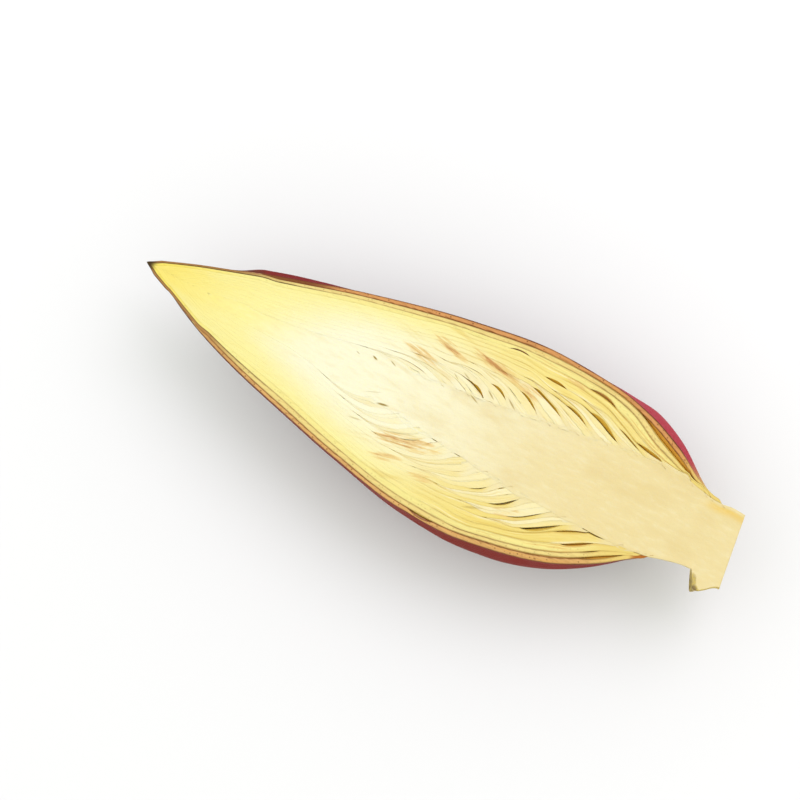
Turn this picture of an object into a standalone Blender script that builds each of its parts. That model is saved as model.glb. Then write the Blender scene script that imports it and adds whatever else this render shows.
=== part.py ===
"""Half of a banana blossom, cut lengthwise, lying on its back with the cut face up.

Run with: blender --background --python part.py

The stem and core is one piece. Bracts grow from it, each outside the next, with their tips towards -X,
and under each of the inner bracts lies a hand of young florets. Four red bracts wrap the outside.

Sizes are in millimetres, and MM turns them into Blender's metres. A point of the blossom has three
numbers: its distance from the tip along the axis, its angle round the axis (0 at the +Y rim of the
cut face, half a turn at the -Y rim, and a quarter turn at the bottom of the back), and its radius.
"""

import math
from functools import lru_cache

import bmesh
import bpy
from mathutils import Vector

MM = 0.001

# Where the blossom stands in its own frame: the origin is under the middle of its box.
MIDDLE_DISTANCE = 131.15
MIDDLE_Y = -0.08
REST_DISTANCE = 150.0
REST_HALF_ANGLE = math.radians(8)
REST_TRIM = 0.6

GAP = 0.4
ROOT_THICKNESS = 0.9
TIP_RADIUS = 0.8

OUTER_COUNT = 4
INNER_COUNT = 10
HEART_LAYER = OUTER_COUNT + INNER_COUNT
OUTER_THICKNESS = 1.6
INNER_THICKNESS = 1.2
THINNEST_BRACT = 0.7
MARGIN_WIDTH = 8.0
LEDGE_WIDTH = 17.0
STEP_WIDTH = 12.0
TIP_STEEPNESS = 3.0
FLESHY_ROOT = 0.8
FLESHY_LENGTH = 14.0

# Every piece has its points on the same rows across the blossom and at the same angles round it, so
# that the flat facets of one piece never cross those of the next. A row is named by its distance from
# the tip at the +Y rim; it leans back towards the tip at the -Y rim, as the roots of the bracts do.
ANGLES = [math.radians(a) for a in (0, 13, 29, 46, 64, 82, 98, 115, 132, 150, 167, 180)]
OUTER_ROOTS = [245.8 - 2.6 * n for n in range(OUTER_COUNT)]
INNER_ROOTS = [231.0 - 12.6 * n + 0.1 * n**2 for n in range(INNER_COUNT + 1)]
ROOTS = OUTER_ROOTS + INNER_ROOTS
ROWS = sorted([0.5, 8, 14, 21, 31, 44, 58, 74, 90, 103, 225, *ROOTS])
LEAN = 14.0
LEAN_LENGTH = 190.0

STEM_END = 260.0
STEM_END_SKEW = 1.8
COLLAR_HEIGHT = 7.5
COLLAR_START = 249.5

THINNEST_FLORET = 0.7
THINNEST_SPACE = 1.15
HAND_OVERHANG = 0.25
FINGER_SHORTENING = 0.8
GROOVE_DEPTH = 0.5

BRACT_RED = (0.30, 0.035, 0.045, 1.0)
BRACT_YELLOW = (0.90, 0.78, 0.32, 1.0)
FLORET_CREAM = (0.92, 0.82, 0.50, 1.0)
CORE_BEIGE = (0.86, 0.74, 0.42, 1.0)


def smooth(t):
    """A smooth step from 0 to 1."""
    t = min(max(t, 0.0), 1.0)
    return t * t * (3 - 2 * t)


def curve_through(*points):
    """A smooth curve through the points that never overshoots them, as a function."""
    xs = [p[0] for p in points]
    ys = [p[1] for p in points]
    slopes = [(ys[i + 1] - ys[i]) / (xs[i + 1] - xs[i]) for i in range(len(xs) - 1)]
    tangents = [slopes[0]]
    for before, after in zip(slopes, slopes[1:]):
        same_way = before * after > 0
        tangents.append(2 * before * after / (before + after) if same_way else 0.0)
    tangents.append(slopes[-1])

    def value(x):
        x = min(max(x, xs[0]), xs[-1])
        i = max(k for k in range(len(xs) - 1) if xs[k] <= x)
        width = xs[i + 1] - xs[i]
        t = (x - xs[i]) / width
        return (
            ys[i] * (1 + 2 * t) * (1 - t) ** 2
            + tangents[i] * width * t * (1 - t) ** 2
            + ys[i + 1] * t * t * (3 - 2 * t)
            + tangents[i + 1] * width * t * t * (t - 1)
        )

    return value


# Half-widths of the cut face at its two rims, and the depth of the back, by distance from the tip.
rim_plus_y = curve_through(
    (0, 0.8), (12, 5.7), (39, 15.6), (60, 22.2), (86, 29.8), (128, 39.0),
    (163, 43.2), (190, 41.6), (207, 37.8), (224, 31.0), (236.5, 23.2), (246, 19.4),
)  # fmt: skip
rim_minus_y = curve_through(
    (0, 0.8), (14, 6.6), (33, 16.4), (54, 23.0), (78, 29.2), (104, 35.8),
    (136, 41.8), (155, 42.6), (174, 40.4), (195, 35.8), (216, 27.4), (230, 19.0), (246, 12.0),
)  # fmt: skip
back_depth = curve_through(
    (0, 0.8), (13, 6.4), (36, 16.5), (60, 24.5), (86, 32.0), (122, 40.6),
    (150, 43.6), (176, 42.6), (200, 38.6), (220, 31.0), (234, 23.0), (246, 16.5),
)  # fmt: skip

# How far the bracts swell out just below the cut, at each rim.
swell_plus_y = curve_through((0, 0.3), (120, 0.6), (180, 2.0), (212, 4.4), (232, 2.8), (246, 0.4))
swell_minus_y = curve_through((0, 0.3), (110, 0.6), (150, 2.0), (180, 3.2), (210, 1.6), (232, 0.2))
SWELL_ANGLE = math.radians(13)

# The solid core: a cone from its growing tip to the base, then the neck of the stem.
core_radius = curve_through(
    (80, 0.0), (92, 4.6), (110, 8.0), (130, 10.6), (160, 13.8), (190, 16.8),
    (212, 18.4), (228, 18.0), (238, 15.8), (246, 14.4), (264, 14.2),
)  # fmt: skip


def axis_y(distance):
    """The stem leans a little to +Y."""
    return 4.0 * smooth((distance - 150) / 100)


def place(distance, angle, radius):
    """The point in the part's own frame."""
    return Vector(
        (
            (distance - MIDDLE_DISTANCE) * MM,
            (axis_y(distance) + radius * math.cos(angle) - MIDDLE_Y) * MM,
            (FACE_HEIGHT - radius * math.sin(angle)) * MM,
        )
    )


@lru_cache(maxsize=None)
def envelope(distance, angle):
    """Radius of the blossom's outside."""
    across = math.cos(angle)
    plus, minus = max(across, 0.0), max(-across, 0.0)
    radius = (rim_plus_y(distance) - axis_y(distance)) * plus**2
    radius += (rim_minus_y(distance) + axis_y(distance)) * minus**2
    radius += back_depth(distance) * math.sin(angle) ** 2
    radius += swell_plus_y(distance) * smooth(angle / SWELL_ANGLE) * plus
    radius += swell_minus_y(distance) * smooth((math.pi - angle) / SWELL_ANGLE) * minus
    return radius


# The outlines of the two outermost bracts: the angles, in degrees, between which each lies on a row.
first_bract_low = curve_through((21, 35), (31, 10), (44, 0), (246, 0))
first_bract_high = curve_through(
    (21, 35), (31, 60), (44, 74), (60, 84), (100, 104), (152, 122), (200, 118), (230, 106), (246, 98)
)
second_bract_low = curve_through(
    (14, 150), (21, 124), (31, 106), (60, 88), (100, 71), (152, 61), (200, 66), (226, 78), (246, 90)
)
second_bract_high = curve_through((14, 150), (21, 166), (31, 180), (246, 180))

FACE_HEIGHT = back_depth(REST_DISTANCE) * math.cos(REST_HALF_ANGLE) - REST_TRIM


def along(row, angle):
    """Distance from the tip of a point of a row."""
    return row - LEAN * smooth(row / LEAN_LENGTH) * (1 - math.cos(angle)) / 2


def surface(row, angle):
    """Radius of the blossom's outside on a row."""
    return envelope(along(row, angle), angle)


def core(row, angle):
    """Radius of the solid core on a row."""
    return core_radius(along(row, angle))


def reach(layer, row):
    """The angles between which a layer is there on a row."""
    if layer == 0:
        return math.radians(first_bract_low(row)), math.radians(first_bract_high(row))
    if layer == 1:
        return math.radians(second_bract_low(row)), math.radians(second_bract_high(row))
    return 0.0, math.pi


def inside_margin(layer, row, angle):
    """How far inside the bract's margin a point is, along the surface. Outside it is negative."""
    if layer > 1:
        return MARGIN_WIDTH
    low, high = reach(layer, row)
    nearest = min(angle - low if low > 0 else math.pi, high - angle if high < math.pi else math.pi)
    return nearest * surface(row, angle) - TIP_STEEPNESS * max(tip_row(layer) - row, 0.0)


def thickness(layer, row, angle):
    """Thickness of a bract: thin at the tip and the margins."""
    full = OUTER_THICKNESS if layer < OUTER_COUNT else INNER_THICKNESS
    full *= 0.6 + 0.4 * smooth(row / 70)
    margin = smooth(inside_margin(layer, row, angle) / MARGIN_WIDTH)
    return THINNEST_BRACT + (full - THINNEST_BRACT) * margin


def cover(layer, row, angle):
    """How much deeper a layer puts everything under it. Past its margin this falls away on a slope."""
    ledge = smooth((-inside_margin(layer, row, angle) - LEDGE_WIDTH) / STEP_WIDTH)
    return (thickness(layer, row, angle) + GAP) * (1 - ledge)


@lru_cache(maxsize=None)
def free_radius(layer, row, angle):
    """Radius of a layer's outer face away from its root."""
    return surface(row, angle) - sum(cover(above, row, angle) for above in range(layer))


def rise(layer, row):
    """How far a layer has risen from the core, 0, to its full place under the outside, 1."""
    length = 7.0 + 2.0 * layer if layer < OUTER_COUNT else 20.0 - 0.7 * (layer - OUTER_COUNT)
    return 1 - math.exp(-max(ROOTS[layer] - row, 0.0) / length)


@lru_cache(maxsize=None)
def outer_face(layer, row, angle):
    """Radius of a layer's outer face."""
    foot = core(row, angle)
    if layer < HEART_LAYER:
        foot += GAP + ROOT_THICKNESS * smooth((ROOTS[layer] + 3 - row) / 3)
    radius = foot + (free_radius(layer, row, angle) - foot) * rise(layer, row)
    if layer < HEART_LAYER and row <= ROOTS[layer]:
        radius = max(radius, ground(layer, row, angle) + THINNEST_BRACT)
    return radius


def ground(layer, row, angle):
    """The lowest radius that stays clear of what lies under a layer."""
    lowest = core(row, angle) + GAP
    if row < tip_row(layer + 1):
        return 0.0
    return max(lowest, outer_face(layer + 1, row, angle) + GAP)


@lru_cache(maxsize=None)
def inner_face(layer, row, angle):
    """Radius of a bract's inner face, where the bract is fleshier towards its root."""
    fleshy = 1 + FLESHY_ROOT * math.exp((row - ROOTS[layer]) / FLESHY_LENGTH)
    radius = outer_face(layer, row, angle) - thickness(layer, row, angle) * fleshy
    return max(radius, ground(layer, row, angle))


@lru_cache(maxsize=None)
def tip_row(layer):
    """The row on which a layer begins: a pointed tip of its own, or the whole way round the axis."""
    if layer < 2:
        return (21, 14)[layer]
    return next(row for row in ROWS if min(free_radius(layer, row, a) for a in ANGLES) > TIP_RADIUS)


def rows_of(layer):
    """The rows of a layer, from its tip to its root."""
    return [row for row in ROWS if tip_row(layer) <= row <= ROOTS[layer]]


def finish(name, bm, material):
    """Welds the points that meet, turns the faces outwards and makes the object."""
    bmesh.ops.remove_doubles(bm, verts=bm.verts, dist=0.002 * MM)
    bmesh.ops.dissolve_degenerate(bm, edges=bm.edges, dist=0.001 * MM)
    bmesh.ops.recalc_face_normals(bm, faces=bm.faces)
    mesh = bpy.data.meshes.new(name)
    bm.to_mesh(mesh)
    bm.free()
    mesh.shade_smooth()
    mesh.set_sharp_from_angle(angle=math.radians(40))
    mesh.materials.append(material)
    obj = bpy.data.objects.new(name, mesh)
    bpy.context.scene.collection.objects.link(obj)
    return obj


def slab(name, outer, inner, material):
    """A closed solid between two grids of points, split into the same triangles on both faces."""
    bm = bmesh.new()
    top = [[bm.verts.new(point) for point in row] for row in outer]
    bottom = [[bm.verts.new(point) for point in row] for row in inner]
    last_row, last_column = len(outer) - 1, len(outer[0]) - 1

    def cell(a, b, c, d):
        bm.faces.new((a, b, c))
        bm.faces.new((a, c, d))

    for i in range(last_row):
        for j in range(last_column):
            cell(top[i][j], top[i][j + 1], top[i + 1][j + 1], top[i + 1][j])
            cell(bottom[i][j], bottom[i][j + 1], bottom[i + 1][j + 1], bottom[i + 1][j])
        for j in (0, last_column):
            cell(top[i][j], top[i + 1][j], bottom[i + 1][j], bottom[i][j])
    for j in range(last_column):
        for i in (0, last_row):
            cell(top[i][j], top[i][j + 1], bottom[i][j + 1], bottom[i][j])
    return finish(name, bm, material)


def on_row(row, angle, radius_at):
    """A point of a row on the chord between two of the fixed angles."""
    low, high = next(pair for pair in zip(ANGLES, ANGLES[1:]) if pair[0] <= angle <= pair[1])
    first = place(along(row, low), low, radius_at(row, low))
    second = place(along(row, high), high, radius_at(row, high))
    return first.lerp(second, (angle - low) / (high - low))


def bract(layer, name, material):
    """One bract, from its tip to its root, over the angles that it covers."""
    outer, inner = [], []
    for row in rows_of(layer):
        low, high = reach(layer, row)
        angles = [min(max(column, low), high) for column in ANGLES]
        outside = [on_row(row, angle, lambda r, a: outer_face(layer, r, a)) for angle in angles]
        outer.append([Vector((point.x, point.y, max(point.z, 0.0))) for point in outside])
        inner.append([on_row(row, angle, lambda r, a: inner_face(layer, r, a)) for angle in angles])
    return slab(name, outer, inner, material)


def collar(distance, angle):
    """The scar ridge round the cut stem, highest on the -Y side."""
    height = 0.6 + (COLLAR_HEIGHT - 0.6) * smooth((angle - 0.4) / 2.2)
    start = COLLAR_START - 1.5 * math.sin(angle)
    climb = smooth((distance - start) / 1.2)
    return height * climb * (1 - 0.65 * smooth((distance - start - 3) / 9))


def stem_and_core(material):
    """The stem stub, the core and its growing tip in one piece, solid to the axis."""
    outer, inner = [], []
    for row in [row for row in ROWS if row >= tip_row(HEART_LAYER)]:
        outer.append([place(along(row, a), a, outer_face(HEART_LAYER, row, a)) for a in ANGLES])
        inner.append([place(along(row, math.pi / 2), a, 0.0) for a in ANGLES])
    for distance in (COLLAR_START, COLLAR_START + 1.2, COLLAR_START + 4, STEM_END):
        skew = STEM_END_SKEW if distance == STEM_END else 0.0
        ends = [distance - skew * math.cos(angle) for angle in ANGLES]
        radii = [core_radius(d) + collar(d, a) for d, a in zip(ends, ANGLES)]
        outer.append([place(d, a, r) for d, a, r in zip(ends, ANGLES, radii)])
        inner.append([place(distance, angle, 0.0) for angle in ANGLES])
    return slab("stem_and_core", outer, inner, material)


def space(layer, row, angle):
    """The lowest and the highest radius of the space for florets under a bract."""
    return ground(layer, row, angle), inner_face(layer, row, angle) - GAP


def is_roomy(layer, row):
    """Whether the space under a bract is thick enough for florets all along a row."""
    spaces = [space(layer, row, angle) for angle in ANGLES]
    return min(high - low for low, high in spaces) >= THINNEST_SPACE


def between_rows(row, angle, radius_at):
    """A point on the straight line between the two nearest rows."""
    before = max(r for r in ROWS if r <= row)
    after = min(r for r in ROWS if r > row)
    first = place(along(before, angle), angle, radius_at(before, angle))
    second = place(along(after, angle), angle, radius_at(after, angle))
    return first.lerp(second, (row - before) / (after - before))


def floret_hand(layer, name, material):
    """A hand of florets: fingers side by side round the core, joined at their roots by the crown."""
    roomy = [row for row in rows_of(layer) if is_roomy(layer, row)]
    before = ROWS[ROWS.index(roomy[0]) - 1]
    after = ROWS[ROWS.index(roomy[-1]) + 1]
    halfway = [(a + b) / 2 for a, b in zip(roomy, roomy[1:])]
    crown = roomy[-1] + HAND_OVERHANG * (after - roomy[-1])
    overhang = HAND_OVERHANG * (roomy[0] - before)
    rows = [roomy[0] - overhang, *sorted(roomy + halfway), crown]
    outer, inner = [], []
    for row in rows:
        outer_row, inner_row = [], []
        for column, angle in enumerate(ANGLES):
            between = column % 2 != column // (len(ANGLES) // 2)
            pulled = row + FINGER_SHORTENING * overhang if between and row == rows[0] else row
            low = between_rows(pulled, angle, lambda r, a: space(layer, r, a)[0])
            high = between_rows(pulled, angle, lambda r, a: space(layer, r, a)[1])
            groove = GROOVE_DEPTH * between * smooth((crown - row) / 10)
            spare = max(1 - THINNEST_FLORET * MM / (high - low).length, 0.0)
            outer_row.append(high.lerp(low, min(groove, spare)))
            inner_row.append(low)
        outer.append(outer_row)
        inner.append(inner_row)
    return slab(name, outer, inner, material)


def material_of(name, colour, roughness):
    """A plain finish for one kind of piece."""
    material = bpy.data.materials.new(name)
    material.use_nodes = True
    shader = material.node_tree.nodes["Principled BSDF"]
    shader.inputs["Base Color"].default_value = colour
    shader.inputs["Roughness"].default_value = roughness
    shader.inputs["Metallic"].default_value = 0.0
    material.diffuse_color = colour
    return material


def main():
    for obj in list(bpy.data.objects):
        bpy.data.objects.remove(obj)
    red = material_of("bract_red", BRACT_RED, 0.42)
    yellow = material_of("bract_yellow", BRACT_YELLOW, 0.5)
    cream = material_of("floret_cream", FLORET_CREAM, 0.5)
    beige = material_of("core_beige", CORE_BEIGE, 0.55)
    stem_and_core(beige)
    for layer in range(OUTER_COUNT):
        bract(layer, f"outer_bract_{layer + 1}", red)
    for number in range(1, INNER_COUNT + 1):
        layer = OUTER_COUNT + number - 1
        bract(layer, f"inner_bract_{number:02d}", yellow)
        if number > 1:
            floret_hand(layer, f"floret_hand_{number:02d}", cream)


main()
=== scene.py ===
"""The looks of half a banana blossom, cut lengthwise and lying on its back.

Run with: blender --background --python scene.py

Sizes in the shape functions are in millimetres, and MM turns them into metres. A point of the blossom
has three numbers: its distance from the tip, its angle round the axis (0 at the +Y rim of the cut face,
half a turn at the -Y rim, and a quarter turn at the bottom of the back), and its radius. They are
placed in the frame's own metres, so every piece is made where it belongs. The materials' numbers are in
metres, as the nodes see them.
"""

import functools
import math

import bpy
import numpy as np
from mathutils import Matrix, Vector


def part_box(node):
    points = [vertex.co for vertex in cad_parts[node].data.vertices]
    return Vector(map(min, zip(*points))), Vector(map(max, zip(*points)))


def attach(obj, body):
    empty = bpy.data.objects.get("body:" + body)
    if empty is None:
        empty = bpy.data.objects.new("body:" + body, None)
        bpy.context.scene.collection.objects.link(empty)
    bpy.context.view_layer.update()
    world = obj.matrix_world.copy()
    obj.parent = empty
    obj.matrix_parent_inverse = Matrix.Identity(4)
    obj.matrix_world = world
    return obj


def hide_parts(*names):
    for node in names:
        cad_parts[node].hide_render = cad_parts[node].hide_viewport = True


bl_info = {
    "name": "Banana Blossom Half",
    "version": (1, 0, 0),
    "blender": (4, 5, 0),
    "location": "3D View > Sidebar > Blossom",
    "description": "Builds the bracts, florets, core and stage of a banana blossom cut in half",
    "category": "Object",
}

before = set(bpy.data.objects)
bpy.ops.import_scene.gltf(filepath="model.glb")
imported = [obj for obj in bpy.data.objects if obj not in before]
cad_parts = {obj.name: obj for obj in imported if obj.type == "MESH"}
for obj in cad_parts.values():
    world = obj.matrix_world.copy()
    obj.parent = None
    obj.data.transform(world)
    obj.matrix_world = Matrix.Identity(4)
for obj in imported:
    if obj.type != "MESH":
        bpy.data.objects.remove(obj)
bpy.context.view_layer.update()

MM = 0.001
HALF_TURN = math.pi
FACE_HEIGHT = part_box("stem_and_core")[1].z / MM
MIDDLE_DISTANCE = 131.15
MIDDLE_Y = -0.08

OUTER_COUNT = 4
INNER_COUNT = 10
HEART = OUTER_COUNT + INNER_COUNT
OUTER_ROOTS = [245.8 - 2.6 * n for n in range(OUTER_COUNT)]
INNER_ROOTS = [231.0 - 12.6 * n + 0.1 * n**2 for n in range(INNER_COUNT + 1)]
ROOTS = OUTER_ROOTS + INNER_ROOTS
LEAN = 14.0
LEAN_LENGTH = 190.0
# The largest slits: under which layer, on which side, how far from its root, half its length, its width.
MAIN_SLITS = (
    (11, 1, 5.0, 4.0, 1.0),
    (10, 1, 9.0, 4.5, 1.3),
    (9, 1, 7.5, 5.5, 1.4),
    (8, 1, 13.0, 8.0, 1.8),
    (7, 1, 12.0, 6.0, 1.0),
    (6, 1, 13.0, 7.5, 1.7),
    (5, 1, 14.0, 6.0, 0.9),
    (4, 1, 17.0, 6.5, 1.5),
    (3, 1, 50.0, 6.5, 1.1),
    (3, 1, 88.0, 4.5, 0.9),
    (5, 1, 50.0, 5.0, 1.1),
    (8, -1, 9.0, 5.0, 0.9),
    (7, -1, 9.0, 6.0, 1.0),
    (6, -1, 10.5, 8.0, 1.1),
    (5, -1, 15.5, 7.5, 1.5),
    (4, -1, 16.0, 7.0, 0.8),
    (3, -1, 19.5, 6.0, 1.1),
    (1, -1, 14.0, 8.0, 1.0),
    (1, -1, 85.0, 6.0, 1.2),
)
# Bruises in the cut flesh: distance from the tip, place across, half-length, half-width, strength.
BRUISES = (
    (117.5, 17.3, 9.0, 2.2, 0.55),
    (125.0, 25.0, 7.0, 2.0, 0.7),
    (145.0, 26.6, 8.5, 2.2, 1.15),
    (161.0, 23.0, 5.0, 2.4, 0.6),
    (176.0, 36.0, 6.0, 1.8, 0.7),
    (126.0, -17.4, 10.5, 2.4, 1.0),
    (122.0, -26.0, 6.0, 1.6, 0.6),
    (139.0, -26.5, 6.0, 1.8, 0.5),
    (176.0, -24.0, 7.0, 1.6, 0.5),
)
# Painted shade of short narrow slits round the heart, drawn as dark marks: distance from the tip, across,
# half-length, half-width, turn, strength.
PAINTED_SLIT_SHADES = (
    (93.1, 6.3, 1.2, 0.35, -17, 0.45),
    (100.1, 7.5, 1.5, 0.5, -20, 0.95),
    (107.6, 8.8, 1.9, 0.35, -23, 0.7),
    (111.5, -7.9, 2.9, 0.6, 11, 0.95),
    (105.8, -5.1, 4.2, 0.3, 22, 0.3),
    (104.2, -17.9, 3.4, 0.45, 9, 0.4),
    (122.9, -15.1, 8.5, 0.3, 16, 0.35),
    (132.3, 15.6, 2.2, 0.3, -33, 0.5),
    (136.0, 17.7, 2.4, 0.35, -25, 0.6),
    (142.6, 10.8, 2.8, 0.4, -24, 0.7),
    (147.8, 15.4, 2.8, 0.4, -35, 0.75),
    (156.8, 15.8, 3.4, 0.45, -35, 0.75),
    (161.5, -28.3, 5.0, 0.6, 21, 0.4),
)

TIP_START = 0.5
TIP_TAPER = 5.0
TIP_RADIUS = 0.35
WITHIN_FACETS = 0.9955

OUTER_SPACING = 2.0
INNER_SPACING = 1.6
MARGIN_SPACING = 0.45
MARGIN_WIDTH = 8.0
STEP_WIDTH = 7.0
THINNEST_BRACT = 0.5
FIRM_LAYERS = 6
FIRM_START = 60.0
ROOT_SWELL = 1.3
ROOT_SINK = 0.9
SUNK_ROWS = 4.0
FLESHY_ROOT = 0.8
FLESHY_LENGTH = 14.0
ROW_STEP = 0.9

# Places across a bract's cut edge. The two next to its borders move closer to them where layers are fused.
BORDER_SHARE = 0.04
CUT_SHARES = np.array([0.0, BORDER_SHARE, 0.24, 0.5, 0.76, 1 - BORDER_SHARE, 1.0])
TO_BORDER = 0.85 * BORDER_SHARE * np.array([0, -1, 0, 0, 0, 1, 0])

STEM_START = 245.8
STEM_END = 260.0
STEM_END_SKEW = 1.8
COLLAR_START = 249.5
COLLAR_HEIGHT = 7.5
COLLAR_SLANT = 3.4

FIRST_HAND = 2
HAND_FINGERS = 13
FINGER_POINTS = 40
FINGER_SPLIT = 6.0
FINGER_LENGTH = 42.0
FINGER_FATNESS = 0.97
SLIT_DEPTH = 0.9
PACKED_START = 24.0
PACKED_WIDTH = 16.0


# ---------------------------------------------------------------- shape functions


def smooth(t):
    """A smooth step from 0 to 1."""
    t = np.clip(t, 0.0, 1.0)
    return t * t * (3 - 2 * t)


def curve_through(*points):
    """A smooth curve through the points that never overshoots them, as a function."""
    xs, ys = np.array(points, float).T
    slopes = np.diff(ys) / np.diff(xs)
    products = slopes[:-1] * slopes[1:]
    sums = np.where(products > 0, slopes[:-1] + slopes[1:], 1.0)
    inner = np.where(products > 0, 2 * products / sums, 0.0)
    tangents = np.concatenate([slopes[:1], inner, slopes[-1:]])

    def value(x):
        x = np.clip(x, xs[0], xs[-1])
        i = np.clip(np.searchsorted(xs, x, side="right") - 1, 0, len(xs) - 2)
        width = xs[i + 1] - xs[i]
        t = (x - xs[i]) / width
        return (
            ys[i] * (1 + 2 * t) * (1 - t) ** 2
            + tangents[i] * width * t * (1 - t) ** 2
            + ys[i + 1] * t * t * (3 - 2 * t)
            + tangents[i + 1] * width * t * t * (t - 1)
        )

    return value


def lattice(i, j, seed):
    """A fixed random number from -1 to 1 for each whole-number point."""
    mixed = (i * 374761393 + j * 668265263 + seed * 974634777) & 0xFFFFFFFF
    mixed = ((mixed ^ (mixed >> 13)) * 1274126177) & 0xFFFFFFFF
    return ((mixed ^ (mixed >> 16)) & 0xFFFF) / 32767.5 - 1


def ripple(x, y, seed):
    """Smooth random waves from -1 to 1, one unit apart."""
    x, y = np.broadcast_arrays(np.asarray(x, float), np.asarray(y, float))
    i, j = np.floor(x).astype(np.int64), np.floor(y).astype(np.int64)
    u, v = smooth(x - i), smooth(y - j)
    low = lattice(i, j, seed) * (1 - u) + lattice(i + 1, j, seed) * u
    high = lattice(i, j + 1, seed) * (1 - u) + lattice(i + 1, j + 1, seed) * u
    return low * (1 - v) + high * v


rim_plus_y = curve_through(
    (0, 0.8), (12, 5.7), (39, 15.6), (60, 22.2), (86, 29.8), (128, 39.0),
    (163, 43.2), (190, 41.6), (207, 37.8), (224, 31.0), (236.5, 23.2), (246, 19.4),
)  # fmt: skip
rim_minus_y = curve_through(
    (0, 0.8), (14, 6.7), (34, 15.8), (54, 22.7), (78, 29.2), (104, 35.8),
    (136, 41.8), (155, 42.6), (174, 40.4), (195, 35.8), (216, 27.4), (230, 19.0), (246, 12.0),
)  # fmt: skip
back_depth = curve_through(
    (0, 0.8), (13, 6.4), (36, 16.5), (60, 24.5), (86, 32.0), (122, 40.6),
    (150, 43.6), (176, 42.6), (200, 38.6), (220, 31.0), (234, 23.0), (246, 16.5),
)  # fmt: skip
swell_plus_y = curve_through((0, 0.3), (120, 0.6), (180, 2.0), (195, 3.2), (212, 5.8), (232, 4.4), (246, 0.6))
swell_minus_y = curve_through((0, 0.3), (110, 0.6), (150, 2.0), (180, 3.2), (210, 1.6), (232, 0.2))
SWELL_ANGLE = math.radians(13)
core_radius = curve_through(
    (80, 0.0), (92, 4.6), (110, 8.0), (130, 10.6), (160, 13.8), (190, 16.8),
    (212, 18.4), (228, 18.0), (238, 15.8), (246, 14.4), (264, 14.2),
)  # fmt: skip
# Where the first two bracts begin and end round the back, in degrees, by the distance of the row.
BRACT_EDGES = (
    (
        curve_through((21, 35), (31, 10), (44, 0), (246, 0)),
        curve_through(
            (21, 35), (31, 60), (44, 74), (60, 84), (100, 104), (152, 122), (200, 118), (230, 106), (246, 98)
        ),
    ),
    (
        curve_through(
            (14, 150), (21, 124), (31, 106), (60, 88), (100, 71), (152, 61), (200, 66), (226, 78), (246, 90)
        ),
        curve_through((14, 150), (21, 166), (31, 180), (246, 180)),
    ),
)
BRACT_TIPS = (21.0, 14.0)
MEETS_CUT = (44.0, 31.0)


def axis_y(distance):
    """The stem leans a little to +Y."""
    return 4.0 * smooth((distance - 150) / 100)


def along(row, angle):
    """Distance from the tip of a point of a row."""
    return row - LEAN * smooth(row / LEAN_LENGTH) * (1 - np.cos(angle)) / 2


def envelope(distance, angle):
    """Radius of the blossom's outside."""
    across = np.cos(angle)
    plus, minus = np.maximum(across, 0), np.maximum(-across, 0)
    radius = (rim_plus_y(distance) - axis_y(distance)) * plus**2
    radius = radius + (rim_minus_y(distance) + axis_y(distance)) * minus**2
    radius = radius + back_depth(distance) * np.sin(angle) ** 2
    radius = radius + swell_plus_y(distance) * smooth(angle / SWELL_ANGLE) * plus
    radius = radius + swell_minus_y(distance) * smooth((HALF_TURN - angle) / SWELL_ANGLE) * minus
    return radius * WITHIN_FACETS


def place(distance, angle, radius):
    """Points in the frame's metres, with the outside trimmed to the spot that it rests on."""
    x = distance - MIDDLE_DISTANCE
    y = axis_y(distance) + radius * np.cos(angle) - MIDDLE_Y
    z = FACE_HEIGHT - radius * np.sin(angle)
    return np.stack([x * MM, y * MM, np.maximum(z, 0.0) * MM], axis=-1)


def reach(layer, row):
    """The angles between which a layer is there on a row."""
    if layer > 1:
        return row * 0.0, row * 0.0 + HALF_TURN
    low, high = (edge(row) for edge in BRACT_EDGES[layer])
    high = np.where(high > 179.99, HALF_TURN, np.radians(high))
    return np.radians(np.where(low < 0.01, 0.0, low)), high


def inside_margin(layer, row, angle):
    """How far inside the bract's margin a point is, along the surface. Outside it is negative."""
    if layer > 1:
        return np.full(np.broadcast(row, angle).shape, MARGIN_WIDTH)
    low, high = reach(layer, row)
    around = envelope(along(row, angle), angle)
    past_cut = np.maximum(row - MEETS_CUT[layer], 0.0)
    from_low = (angle - low) * around + past_cut * (low == 0)
    from_high = (high - angle) * around + past_cut * (high == HALF_TURN)
    beyond_tip = np.maximum(BRACT_TIPS[layer] - row, 0.0)
    return np.minimum(from_low, from_high) - 3 * beyond_tip


def covers(layer, row, angle):
    """1 where a layer is there, falling to 0 on the step beyond its margin."""
    return 1 - smooth(-inside_margin(layer, row, angle) / STEP_WIDTH)


def spacing(layer, row, angle):
    """How much deeper a layer puts everything under it: its own thickness and the gap below."""
    full = OUTER_SPACING if layer < OUTER_COUNT else INNER_SPACING
    full = full * (0.5 + 0.5 * smooth((row - 10) / 75))
    full = full * (1 + 0.22 * ripple(row / 38, 3 * angle / HALF_TURN, 31 + layer) * smooth(row / 60))
    inside = smooth(inside_margin(layer, row, angle) / MARGIN_WIDTH)
    full = MARGIN_SPACING + (full - MARGIN_SPACING) * inside
    if layer == 0:
        full = full + long_gap(row, angle)
    return full * covers(layer, row, angle)


def rise(layer, row):
    """How far a layer has risen from the core, 0, to its full place under the outside, 1."""
    length = 7.0 + 2.0 * layer if layer < OUTER_COUNT else 15.5 - 0.45 * (layer - OUTER_COUNT)
    return 1 - np.exp(-np.maximum(ROOTS[layer] - row, 0.0) / length)


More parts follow.
